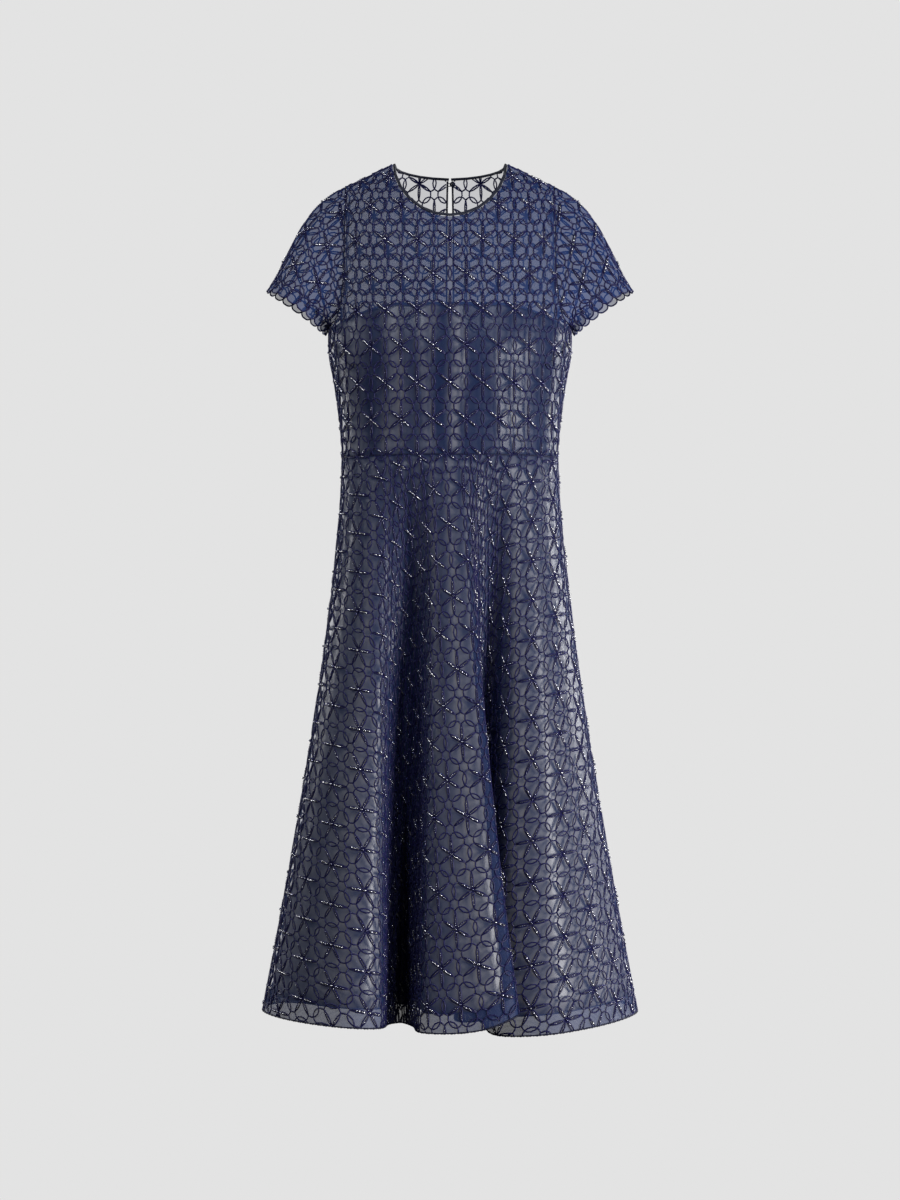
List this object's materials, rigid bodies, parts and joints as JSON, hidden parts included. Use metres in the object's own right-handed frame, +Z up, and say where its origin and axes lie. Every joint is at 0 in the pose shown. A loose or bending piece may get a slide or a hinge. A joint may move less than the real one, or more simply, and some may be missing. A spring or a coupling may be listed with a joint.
{
  "type": "cocktail dress",
  "caption": "Midi cocktail dress with short sheer sleeves, round bound neck, slit and zip at the back, fluted circle-cut skirt and strapless slip, filled out as if worn",
  "frame": {"origin": "midway between the two points where the neck meets the shoulder seams", "axes": "+Z up, front of the dress towards -Y, the wearer's left towards +X"},
  "size_m": [0.5229, 0.3841, 1.1983],
  "materials": {
    "embroidered_tulle": "sheer tulle embroidered all over with cords and beads",
    "slip_satin": "soft satin",
    "plain_net": "fine sheer net behind the yoke",
    "binding": "matte bias binding and zip tape",
    "hem_band": "ribbed braid",
    "zip_metal": "dark plated zip slider and pull"
  },
  "bodies": {
    "dress": {"bodice_front": "embroidered_tulle", "bodice_back_left": "embroidered_tulle", "bodice_back_right": "embroidered_tulle", "sleeve_left": "embroidered_tulle", "sleeve_right": "embroidered_tulle", "skirt_front": "embroidered_tulle", "skirt_back_left": "embroidered_tulle", "skirt_back_right": "embroidered_tulle", "slip_bodice_front": "slip_satin", "slip_bodice_back_left": "slip_satin", "slip_bodice_back_right": "slip_satin", "slip_skirt_front": "slip_satin", "slip_skirt_back_left": "slip_satin", "slip_skirt_back_right": "slip_satin", "yoke_lining": "plain_net", "neck_binding": "binding", "slit_binding_left": "binding", "slit_binding_right": "binding", "nape_button": "binding", "nape_loop": "binding", "zip_tape": "binding", "hem_band_front": "hem_band", "hem_band_back_left": "hem_band", "hem_band_back_right": "hem_band", "zip_slider": "zip_metal"},
    "zip_pull": {"zip_pull": "zip_metal"}
  },
  "joints": [
    {"name": "pull_swing", "type": "hinge", "parent": "dress", "child": "zip_pull", "pos_m": [0, 0.09504, -0.22831], "axis": [1, 0, 0], "range_deg": [0, 160]}
  ]
}
